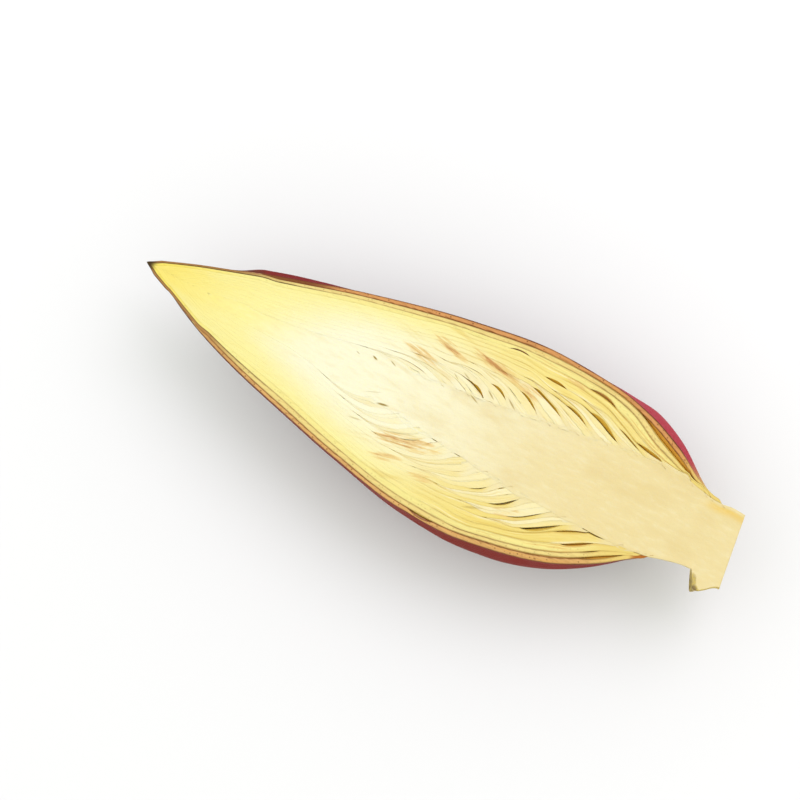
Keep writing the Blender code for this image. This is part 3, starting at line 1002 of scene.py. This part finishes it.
class BlossomSizes(bpy.types.PropertyGroup):
    """Sizes of the fine shapes."""

    layer_gap: length("Layer gap", "Space between one bract and the next where they touch", 0.02)
    edge_rounding: length("Edge rounding", "How far the cut edges of the bracts are rounded", 0.11)
    floret_sides: bpy.props.IntProperty(
        name="Floret sides", description="Points round a floret", default=12, min=6, max=24
    )


class BlossomColours(bpy.types.PropertyGroup):
    """Colours of the flesh and the skin."""

    tip_yellow: colour("Tip yellow", "Cut bracts near the tip", 255, 244, 156)
    tip_deep: colour("Tip deep yellow", "Cut bracts at the very tip", 255, 234, 110)
    middle_cream: colour("Middle cream", "Cut flesh in the middle", 254, 250, 214)
    stem_beige: colour("Stem beige", "Pith near the stem", 240, 221, 160)
    rim_yellow: colour("Rim yellow", "Cut bracts near the rims", 253, 241, 152)
    bract_yellow: colour("Bract yellow", "Inner bracts", 243, 218, 105)
    deep_yellow: colour("Deep yellow", "Loose layers on the -Y side", 240, 212, 96)
    floret_cream: colour("Floret cream", "Florets", 253, 242, 190)
    slit_olive: colour("Slit olive", "Faces inside the gaps", 240, 192, 62)
    # Painted light: a lighter gold that lifts the shade inside the gaps on the -Y side.
    slit_painted_light_gold: colour("Slit gold", "Faces inside the gaps on the -Y side, in the shade", 253, 218, 96)
    # Painted shade: the dark olive of narrow slits round the heart.
    slit_shade_olive: colour("Mark olive", "Short closed slits round the heart", 158, 126, 8)
    pith_shade: colour("Pith shade", "Veins and clouds in the pith", 232, 208, 142)
    stain_brown: colour("Stain brown", "Bruised flesh", 192, 124, 40)
    stain_tan: colour("Stain tan", "Paler bruises", 236, 196, 112)
    edge_ochre: colour("Edge ochre", "Edges of the loose layers", 224, 184, 58)
    stem_amber: colour("Stem amber", "The stem's upper corner", 240, 202, 92)
    stem_skin: colour("Stem skin", "Outside of the stem", 236, 222, 160)
    scar_brown: colour("Scar brown", "Old scars on the stem", 92, 58, 16)
    scar_green: colour("Scar green", "Scars' paler parts", 214, 188, 84)
    skin_red: colour("Skin red", "Outer bracts in the light", 126, 35, 35)
    skin_shade: colour("Skin shade", "Outer bracts' darker streaks", 76, 20, 22)
    skin_light: colour("Skin light", "Outer bracts' ribs", 152, 56, 48)
    # Near the stem: its own magenta, made lighter as painted light where the steep +Y side gets less lamp
    # light.
    fresh_skin_and_painted_light: colour("Skin fresh", "Outer bracts near the stem", 208, 66, 84)
    skin_brown: colour("Skin brown", "Outer bracts at the -Y rim", 146, 36, 10)
    skin_bloom: colour("Skin bloom", "Waxy bloom", 150, 78, 70)
    tip_olive: colour("Tip olive", "Outer bracts near the tip", 112, 78, 44)
    bract_base: colour("Bract base", "Outer bracts near the stem", 240, 214, 120)
    margin_brown: colour("Margin brown", "Dry margins", 96, 52, 36)
    inside_pink: colour("Inside pink", "Inner faces of the outer bracts", 206, 140, 110)
    cut_tan: colour("Cut tan", "Cut edges of the outer bracts", 224, 160, 96)
    cut_brown: colour("Cut brown", "Lines in the cut edges", 124, 72, 26)
    flap_red: colour("Flap red", "The first bract's loose end", 142, 34, 36)
    # Painted shadow on the cut edges under the first bract's loose end.
    flap_shadow_brown: colour("Flap brown", "Cut edges under the first bract's loose end", 112, 56, 24)
    cut_orange: colour("Cut orange", "Stripes in the cut edges near the stem", 226, 168, 84)
    gap_orange: colour("Gap orange", "Faces inside the gaps between the outer bracts", 236, 176, 70)
    corner_brown: colour("Corner brown", "Dry corner where a bract ends", 186, 110, 40)
    dot_brown: colour("Dot brown", "Cut vessels", 110, 60, 24)
    tip_dark: colour("Tip dark", "The dry point", 74, 56, 30)


class StageSettings(bpy.types.PropertyGroup):
    """The floor, the lights and the camera."""

    floor_colour: colour("Floor", "Colour of the floor", 254, 254, 254)
    azimuth: bpy.props.FloatProperty(
        name="Azimuth",
        description="Turn of the camera round the blossom",
        default=math.radians(27.5),
        subtype="ANGLE",
    )
    elevation: bpy.props.FloatProperty(
        name="Elevation",
        description="Height of the camera over the floor",
        default=math.radians(79),
        subtype="ANGLE",
    )
    distance: length("Distance", "From the camera to the blossom", 880)
    lens: bpy.props.FloatProperty(
        name="Lens", description="Focal length", default=100.0, min=20.0, unit="CAMERA"
    )
    key_strength: bpy.props.FloatProperty(
        name="Key light", description="Power of the main light", default=5.6, min=0.0, unit="POWER"
    )
    sky_strength: bpy.props.FloatProperty(
        name="Sky light", description="Strength of the light from all round", default=1.45, min=0.0
    )


# ---------------------------------------------------------------- operators


CUT_SPACING = (0, 0.8, 2, 4, 7, 11, 16, 22, 29, 36, 43, 50, 57, 64, 71, 78, 84, 90)
INNER_CUT_SPACING = (0, 0.6, 1.5, 3, 5.5, 9, 14, 22, 35, 52, 72, 90)
FLOOR_HALF = 3.0
SKY_COLOUR = (0.93, 1.0, 0.84, 1.0)
LAMP_COLOUR = (1.0, 0.93, 0.98)
LAMP_TARGET = (-0.004, 0.0, 0.03)
VIEW_SHIFT = (-0.0142, 0.0038)


def mirrored(degrees):
    """Shares of the way round the half, closer together at the two cut edges."""
    first = [d / 180 for d in degrees]
    return first + [1 - share for share in reversed(first) if share < 0.5]


class BLOSSOM_OT_outer_bracts(bpy.types.Operator):
    """Make the four red outer bracts."""

    bl_idname = "blossom.outer_bracts"
    bl_label = "Outer Bracts"

    def execute(self, context):
        sizes, colours = context.scene.blossom_sizes, context.scene.blossom_colours
        dense = [(1 - math.cos(t * HALF_TURN)) / 2 for t in np.linspace(0, 1, 61)]
        plain = mirrored(CUT_SPACING)
        for layer in range(OUTER_COUNT):
            name = f"outer_bract_{layer + 1}"
            material = outer_bract_material(colours, layer)
            piece = shell(f"{name}_skin", layer, dense if layer < 2 else plain, sizes, material)
            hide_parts(name)
        return {"FINISHED"}


class BLOSSOM_OT_inner_bracts(bpy.types.Operator):
    """Make the nested inner bracts."""

    bl_idname = "blossom.inner_bracts"
    bl_label = "Inner Bracts"

    def execute(self, context):
        sizes, colours = context.scene.blossom_sizes, context.scene.blossom_colours
        material = inner_bract_material(colours)
        shares = mirrored(INNER_CUT_SPACING)
        for number in range(1, INNER_COUNT + 1):
            name = f"inner_bract_{number:02d}"
            piece = shell(f"{name}_flesh", OUTER_COUNT + number - 1, shares, sizes, material)
            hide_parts(name)
        return {"FINISHED"}


def core_outline(row, angle):
    """Distance and radius of the core's outside, with its growing tip, its neck and its scarred collar."""
    inner_row = np.minimum(row, STEM_START)
    beyond = np.clip((row - STEM_START) / (STEM_END - STEM_START), 0, 1)
    end = STEM_END - STEM_END_SKEW * np.cos(angle)
    distance = along(inner_row, angle) * (1 - beyond) + end * beyond
    depth = sum(spacing(n, inner_row, angle) for n in range(HEART))
    radius = heart_face(inner_row, angle, envelope(distance, angle) - depth)
    radius = sway(distance, angle, np.where(beyond > 0, core_radius(distance), radius))
    uneven = 0.45 + 0.9 * ripple(distance / 6.5, 5 * (angle < 1), 65)
    by_cut = smooth(1 - radius * np.sin(angle) / 2)
    radius = radius + uneven * by_cut * smooth((distance - 95) / 30) * smooth((236 - distance) / 12)
    lowest = 0.6
    height = lowest + (COLLAR_HEIGHT - lowest) * smooth((angle - 0.4) / 2.2)
    height = height * (1 + 0.14 * ripple(angle * 7, distance / 2.2, 63))
    past_start = distance - (COLLAR_START - 1.5 * np.sin(angle) + 0.5 * ripple(angle * 6, 0, 61))
    ridge = np.clip(past_start / COLLAR_SLANT, 0, 1) ** 0.8
    collar = height * ridge * (1 - 0.72 * smooth((past_start - COLLAR_SLANT) / 9))
    return distance, radius + collar


def core_face(row, share):
    """Distance and offset of points across the core's cut face, and how far they are from its two edges."""
    plus, plus_edge = core_outline(row, np.zeros_like(row))
    minus, minus_edge = core_outline(row, np.full_like(row, HALF_TURN))
    offset = -minus_edge * (1 - share) + plus_edge * share
    return minus * (1 - share) + plus * share, offset, plus_edge - offset, minus_edge + offset


def collar_scar(distance, angle):
    """How scarred the outside of the stem is: its collar, most of all at the -Y side."""
    scar = smooth((distance - COLLAR_START + 1.2) / 1.5) * (0.35 + 0.65 * smooth((angle - 1.0) / 1.6))
    return 0.75 * scar * (1 - 0.5 * smooth((distance - COLLAR_START - 4) / 4))


def face_scar(distance, offset, from_minus):
    """How scarred the stem's cut face is, along the collar's edges."""
    from_left = distance - COLLAR_START - COLLAR_SLANT * np.clip((-offset - 14.3) / COLLAR_HEIGHT, 0, 1)
    by_bottom = smooth((1.1 - from_minus) / 0.9) * smooth((distance - 251) / 2)
    by_left = smooth((2.3 - from_left) / 1.2) * smooth((-offset - 14.6) / 1.2)
    by_corner = smooth((3.2 - from_left) / 2) * smooth((-offset - 18.4) / 1.8)
    return np.maximum(np.maximum(0.6 * by_left, 0.75 * by_bottom), by_corner) * (distance > 247)


class BLOSSOM_OT_stem_and_core(bpy.types.Operator):
    """Make the stem stub, the core and its growing tip."""

    bl_idname = "blossom.stem_and_core"
    bl_label = "Stem and Core"

    def execute(self, context):
        start = first_row(HEART)
        stem_rows = np.linspace(STEM_START, STEM_END, 48)
        rows = np.concatenate([np.arange(start, STEM_START, ROW_STEP), stem_rows])[:, None]
        arc = np.radians(np.array([0, 1, 3, 6, *range(10, 171, 5), 174, 177, 179, 180.0]))[None, :]
        shares = np.array([0.002, *np.linspace(0, 1, 56)[1:-1], 0.998])[None, :]
        distance, radius = core_outline(rows, arc)
        rounding = 0.04 + 0.12 * smooth((rows - STEM_START + 12) / 8)
        turn = turn_under(rounding, radius, 0.3, 0.5)
        angle = np.broadcast_to(arc, radius.shape).copy()
        angle[:, 0] = turn[:, 0]
        angle[:, -1] = HALF_TURN - turn[:, -1]

        face_distance, offset, from_plus, from_minus = core_face(rows, shares)
        fibres = 0.5 + 0.5 * ripple(face_distance / 26, offset / 1.3, 51)
        clouds = 0.5 + 0.5 * ripple(face_distance / 13, offset / 6, 53)
        edge = smooth(np.minimum(shares, 1 - shares) * 12)
        relief = (0.02 + (0.05 + 0.06 * fibres + 0.14 * clouds) * edge) * smooth((face_distance - start) / 30)
        y = axis_y(face_distance) + offset - MIDDLE_Y
        face = np.stack([face_distance - MIDDLE_DISTANCE, y, FACE_HEIGHT - relief], axis=-1) * MM

        def joined(outside_values, face_values):
            return np.concatenate([outside_values, face_values], axis=1)

        points = joined(place(distance, angle, radius), face)
        count, total = points.shape[:2]
        faces = ring_faces(count, total)
        faces += [list(range(total))[::-1], [(count - 1) * total + i for i in range(total)]]

        cut = np.zeros_like(radius)
        cut[:, [0, -1]] = distance[:, [0, -1]] < STEM_START
        amber = smooth((face_distance - 238) / 10) * smooth(from_plus - 0.7) * smooth((5.4 - from_plus) / 3.2)
        flow = [joined(distance, face_distance), joined(angle * 16, offset), np.zeros((count, total))]
        attributes = {
            "cut": joined(cut, np.ones_like(offset)),
            "amber": joined(np.zeros_like(radius), amber),
            "scar": joined(collar_scar(distance, angle), face_scar(face_distance, offset, from_minus)),
            "flow": np.stack(flow, axis=-1),
        }
        material = core_material(context.scene.blossom_colours)
        piece = mesh_object("stem_and_core_flesh", points, faces, attributes, material)
        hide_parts("stem_and_core")
        return {"FINISHED"}


def unit(vectors):
    """Vectors made one long."""
    return vectors / np.linalg.norm(vectors, axis=1, keepdims=True)


def floret_rails(layer, gap):
    """Centre lines of a hand's florets, in two tiers, with what the florets' shapes and looks need."""
    florets = []
    turns = np.linspace(0, HALF_TURN, HAND_FINGERS)
    share = np.linspace(0, 1, FINGER_POINTS)
    rows = np.arange(ROOTS[layer] - 0.6, ROOTS[layer] - FINGER_LENGTH, -0.3)[:, None]
    past_split = smooth((ROOTS[layer] - FINGER_SPLIT - rows) / 4 + 0.5)
    for k, turn in enumerate(turns):
        angles = np.full_like(rows, turn)
        outer, inner = layer_faces(rows, angles, gap, slits=False)
        core = core_radius(along(rows, angles))
        floor = np.maximum(core - 0.7, outer[layer + 1] + gap)
        roof = inner[layer] - gap
        middle = core - 0.5 + ((floor + roof) / 2 - core + 0.5) * past_split
        between = slit(layer, rows, angles, shift=40) * 0.5
        beneath = slit(layer, rows, angles, shift=60) * 0.8
        tiers = ((floor, middle - gap / 2, beneath, between), (middle + gap / 2, roof, between, 0 * between))
        for tier, sides in enumerate(tiers):
            open_rows = np.flatnonzero(sides[1] - sides[0] > 0.08)
            if len(open_rows) < 8:
                continue
            first, last = rows[open_rows[0], 0], rows[open_rows[-1], 0]
            row = first + (last - first) * share
            low, high, pull_low, pull_high = (np.interp(-row, -rows[:, 0], values[:, 0]) for values in sides)
            angle = np.full_like(row, turn)
            distance = along(row, angle)
            end = 1 - 0.1 * smooth((share - 0.9) / 0.1)
            half_depth = np.maximum((high - low) / 2, 0.03) * end
            radius = high - half_depth if tier else low + half_depth
            half_depth = half_depth * (1.14 - 0.16 * openness(layer, row, turn < 1, shift=20 * (tier + 1)))
            half_width = radius * (turns[1] - turns[0]) * 0.49 * end
            radius = sway(distance, angle, radius)
            centre = place(distance, angle, radius)
            side = np.array([0.0, -math.sin(turn), -math.cos(turn)])
            up = unit(np.cross(unit(np.gradient(centre, axis=0)), side))
            wavy = (0.5 + 0.5 * ripple(distance / 16, layer + 5 * tier + 3 * k, 81)) ** 2
            dip = 0.03 + (0.08 + 0.22 * smooth((distance - 120) / 50)) * wavy * smooth(share / 0.2)
            tone = 0.5 + 0.5 * lattice(k, 2 * layer + tier, 71)
            florets.append({
                "centre": centre,
                "across_floret": side * half_width[:, None] * MM,
                "depth_floret": up * half_depth[:, None] * MM,
                "share": share,
                "tone": np.full_like(share, tone),
                "cut_height": (FACE_HEIGHT - dip) * MM,
                "flow": np.stack([row, angle * 40, np.full_like(row, layer + 0.35 + 0.3 * tier)], axis=-1),
                "bruise": bruise(distance, np.cos(turn) * radius + axis_y(distance)),
                "pull_low": np.minimum(pull_low, half_depth) * MM,
                "pull_high": np.minimum(pull_high, half_depth) * MM,
            })  # fmt: skip
    attributes = {name: np.concatenate([floret[name] for floret in florets]) for name in florets[0]}
    edges = [(i, i + 1) for i in range(len(florets) * FINGER_POINTS) if (i + 1) % FINGER_POINTS]
    return attributes, edges


def floret_tree():
    """Geometry Nodes that turn centre lines into florets and cut off what stands over the cut."""
    group = bpy.data.node_groups.new("floret_hand", "GeometryNodeTree")
    kinds = {"Geometry": "Geometry", "Sides": "Int", "Fatness": "Float", "Material": "Material"}
    keys = {}
    for name, kind in kinds.items():
        socket = group.interface.new_socket(name, in_out="INPUT", socket_type=f"NodeSocket{kind}")
        keys[name] = socket.identifier
    group.interface.new_socket("Geometry", in_out="OUTPUT", socket_type="NodeSocketGeometry")
    nodes = Nodes(group)
    given = {name: Value(nodes, socket) for name, socket in group.nodes.new("NodeGroupInput").outputs.items()}

    def named(name, kind="FLOAT"):
        return nodes.value("GeometryNodeInputNamedAttribute", "Attribute", {"Name": name}, data_type=kind)

    def stored(geometry, name, value):
        inputs = {"Geometry": geometry, "Name": name, "Value": value}
        return nodes.value("GeometryNodeStoreNamedAttribute", "Geometry", inputs, data_type="FLOAT")

    rail = nodes.value("GeometryNodeMeshToCurve", "Curve", {"Mesh": given["Geometry"]})
    circle = nodes.value("GeometryNodeCurvePrimitiveCircle", "Curve", {"Resolution": given["Sides"]})
    index = nodes.value("GeometryNodeInputIndex", "Index")
    profile = stored(circle, "turn", index / given["Sides"] * (2 * HALF_TURN))
    swept = {"Curve": rail, "Profile Curve": profile, "Fill Caps": True}
    florets = nodes.value("GeometryNodeCurveToMesh", "Mesh", swept)

    turn, depth = named("turn"), named("depth_floret", "FLOAT_VECTOR")
    cosine, sine = nodes.math("COSINE", turn), nodes.math("SINE", turn)
    wide = named("across_floret", "FLOAT_VECTOR") * cosine
    full = named("centre", "FLOAT_VECTOR") + (wide + depth * sine) * given["Fatness"]
    cut_height = named("cut_height")
    near_cut = (cut_height - nodes.axes(full)[2]).ramp(0.0, SLIT_DEPTH * MM, 1.0, 0.0, "LINEAR")
    pull = nodes.math("MAXIMUM", sine, 0.0) * named("pull_high")
    pull = pull + nodes.math("MINIMUM", sine, 0.0) * named("pull_low")
    whole = full + nodes.math("NORMALIZE", depth) * (pull * near_cut * -1.0)
    x, y, z = nodes.axes(whole)
    florets = stored(florets, "cut", nodes.math("GREATER_THAN", z, cut_height))
    florets = stored(florets, "across", sine * 0.5 + 0.5)
    shaped = {"Geometry": florets, "Position": nodes.vector(x, y, nodes.math("MINIMUM", z, cut_height))}
    florets = nodes.value("GeometryNodeSetPosition", "Geometry", shaped)
    florets = nodes.value("GeometryNodeRealizeInstances", "Geometry", {"Geometry": florets})
    inputs = {"Geometry": florets, "Material": given["Material"]}
    florets = nodes.value("GeometryNodeSetMaterial", "Geometry", inputs)
    nodes.put(group.nodes.new("NodeGroupOutput").inputs["Geometry"], florets)
    return group, keys


def baked(source, tree, values, name):
    """Runs a Geometry Nodes tree on an object and keeps the result as a plain mesh object."""
    modifier = source.modifiers.new("shape", "NODES")
    modifier.node_group = tree
    for identifier, value in values.items():
        modifier[identifier] = value
    bpy.context.view_layer.update()
    graph = bpy.context.evaluated_depsgraph_get()
    mesh = bpy.data.meshes.new_from_object(source.evaluated_get(graph))
    mesh.name = name
    source.modifiers.remove(modifier)
    bpy.data.objects.remove(source)
    mesh.shade_smooth()
    return linked(name, mesh)


class BLOSSOM_OT_floret_hands(bpy.types.Operator):
    """Make the hands of florets."""

    bl_idname = "blossom.floret_hands"
    bl_label = "Floret Hands"

    def execute(self, context):
        sizes, colours = context.scene.blossom_sizes, context.scene.blossom_colours
        tree, keys = floret_tree()
        values = {
            keys["Sides"]: sizes.floret_sides,
            keys["Fatness"]: FINGER_FATNESS,
            keys["Material"]: floret_material(colours),
        }
        for number in range(FIRST_HAND, INNER_COUNT + 1):
            name = f"floret_hand_{number:02d}"
            attributes, edges = floret_rails(OUTER_COUNT + number - 1, sizes.layer_gap / MM)
            mesh = bpy.data.meshes.new(f"{name}_rails")
            mesh.from_pydata(attributes["centre"].tolist(), edges, [])
            put_attributes(mesh, attributes)
            piece = baked(linked(f"{name}_rails", mesh), tree, values, f"{name}_florets")
            if len(piece.data.polygons) == 0:
                raise RuntimeError(f"{name} came out empty")
            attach(piece, "root")
            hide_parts(name)
        return {"FINISHED"}


class BLOSSOM_OT_stage(bpy.types.Operator):
    """Make the floor, the lights and the camera."""

    bl_idname = "blossom.stage"
    bl_label = "Stage"

    def execute(self, context):
        scene = context.scene
        stage = scene.blossom_stage
        scene.view_settings.view_transform = "Standard"

        floor_mesh = bpy.data.meshes.new("floor")
        corners = [(FLOOR_HALF * x, FLOOR_HALF * y, 0) for x, y in ((-1, -1), (1, -1), (1, 1), (-1, 1))]
        floor_mesh.from_pydata(corners, [], [(0, 1, 2, 3)])
        nodes = Material("floor_paper")
        normal = nodes.bump(nodes.noise(nodes.place, 300.0, 4.0), 0.00005, 0.2)
        floor_mesh.materials.append(nodes.finish(tuple(stage.floor_colour), 0.85, normal, softness=0.0))
        linked("floor", floor_mesh)

        world = bpy.data.worlds.new("studio")
        world.use_nodes = True
        sky = world.node_tree.nodes["Background"].inputs
        sky["Color"].default_value = SKY_COLOUR
        sky["Strength"].default_value = stage.sky_strength
        scene.world = world

        for name, spot, size, power in (
            ("key", (0.3, 0.65, 1.15), 1.0, stage.key_strength),
            ("fill", (-0.8, -0.4, 1.0), 1.2, stage.key_strength * 0.3),
        ):
            light = bpy.data.lights.new(name, "AREA")
            light.shape = "DISK"
            light.size = size
            light.energy = power
            light.color = LAMP_COLOUR
            lamp = linked(name, light)
            lamp.location = spot
            lamp.rotation_euler = (Vector(LAMP_TARGET) - Vector(spot)).to_track_quat("-Z", "Y").to_euler()

        turn, tilt = stage.azimuth, stage.elevation
        level = math.cos(tilt)
        back = Vector((math.sin(turn) * level, -math.cos(turn) * level, math.sin(tilt)))
        right = Vector((math.cos(turn), math.sin(turn), 0.0))
        middle = right * VIEW_SHIFT[0] + back.cross(right) * VIEW_SHIFT[1]
        middle = middle + Vector((0.0, 0.0, FACE_HEIGHT * MM))
        camera_data = bpy.data.cameras.new("camera")
        camera_data.lens = stage.lens
        camera = linked("camera", camera_data)
        camera.location = middle + back * stage.distance
        camera.rotation_euler = (-back).to_track_quat("-Z", "Y").to_euler()
        scene.camera = camera
        return {"FINISHED"}


OPERATORS = (
    BLOSSOM_OT_stage,
    BLOSSOM_OT_stem_and_core,
    BLOSSOM_OT_outer_bracts,
    BLOSSOM_OT_inner_bracts,
    BLOSSOM_OT_floret_hands,
)


class BLOSSOM_PT_panel(bpy.types.Panel):
    """The blossom's pieces, one button each."""

    bl_idname = "BLOSSOM_PT_panel"
    bl_label = "Banana Blossom"
    bl_space_type = "VIEW_3D"
    bl_region_type = "UI"
    bl_category = "Blossom"

    def draw(self, context):
        for settings in ("blossom_sizes", "blossom_colours", "blossom_stage"):
            group = getattr(context.scene, settings)
            for name in group.__annotations__:
                self.layout.prop(group, name)
        for operator in OPERATORS:
            self.layout.operator(operator.bl_idname)


CLASSES = (BlossomSizes, BlossomColours, StageSettings, *OPERATORS, BLOSSOM_PT_panel)


def register():
    for cls in CLASSES:
        bpy.utils.register_class(cls)
    bpy.types.Scene.blossom_sizes = bpy.props.PointerProperty(type=BlossomSizes)
    bpy.types.Scene.blossom_colours = bpy.props.PointerProperty(type=BlossomColours)
    bpy.types.Scene.blossom_stage = bpy.props.PointerProperty(type=StageSettings)


def unregister():
    del bpy.types.Scene.blossom_stage
    del bpy.types.Scene.blossom_colours
    del bpy.types.Scene.blossom_sizes
    for cls in reversed(CLASSES):
        bpy.utils.unregister_class(cls)


def main():
    register()
    bpy.ops.blossom.stage()
    bpy.ops.blossom.stem_and_core()
    bpy.ops.blossom.outer_bracts()
    bpy.ops.blossom.inner_bracts()
    bpy.ops.blossom.floret_hands()


if __name__ == "__main__":
    main()
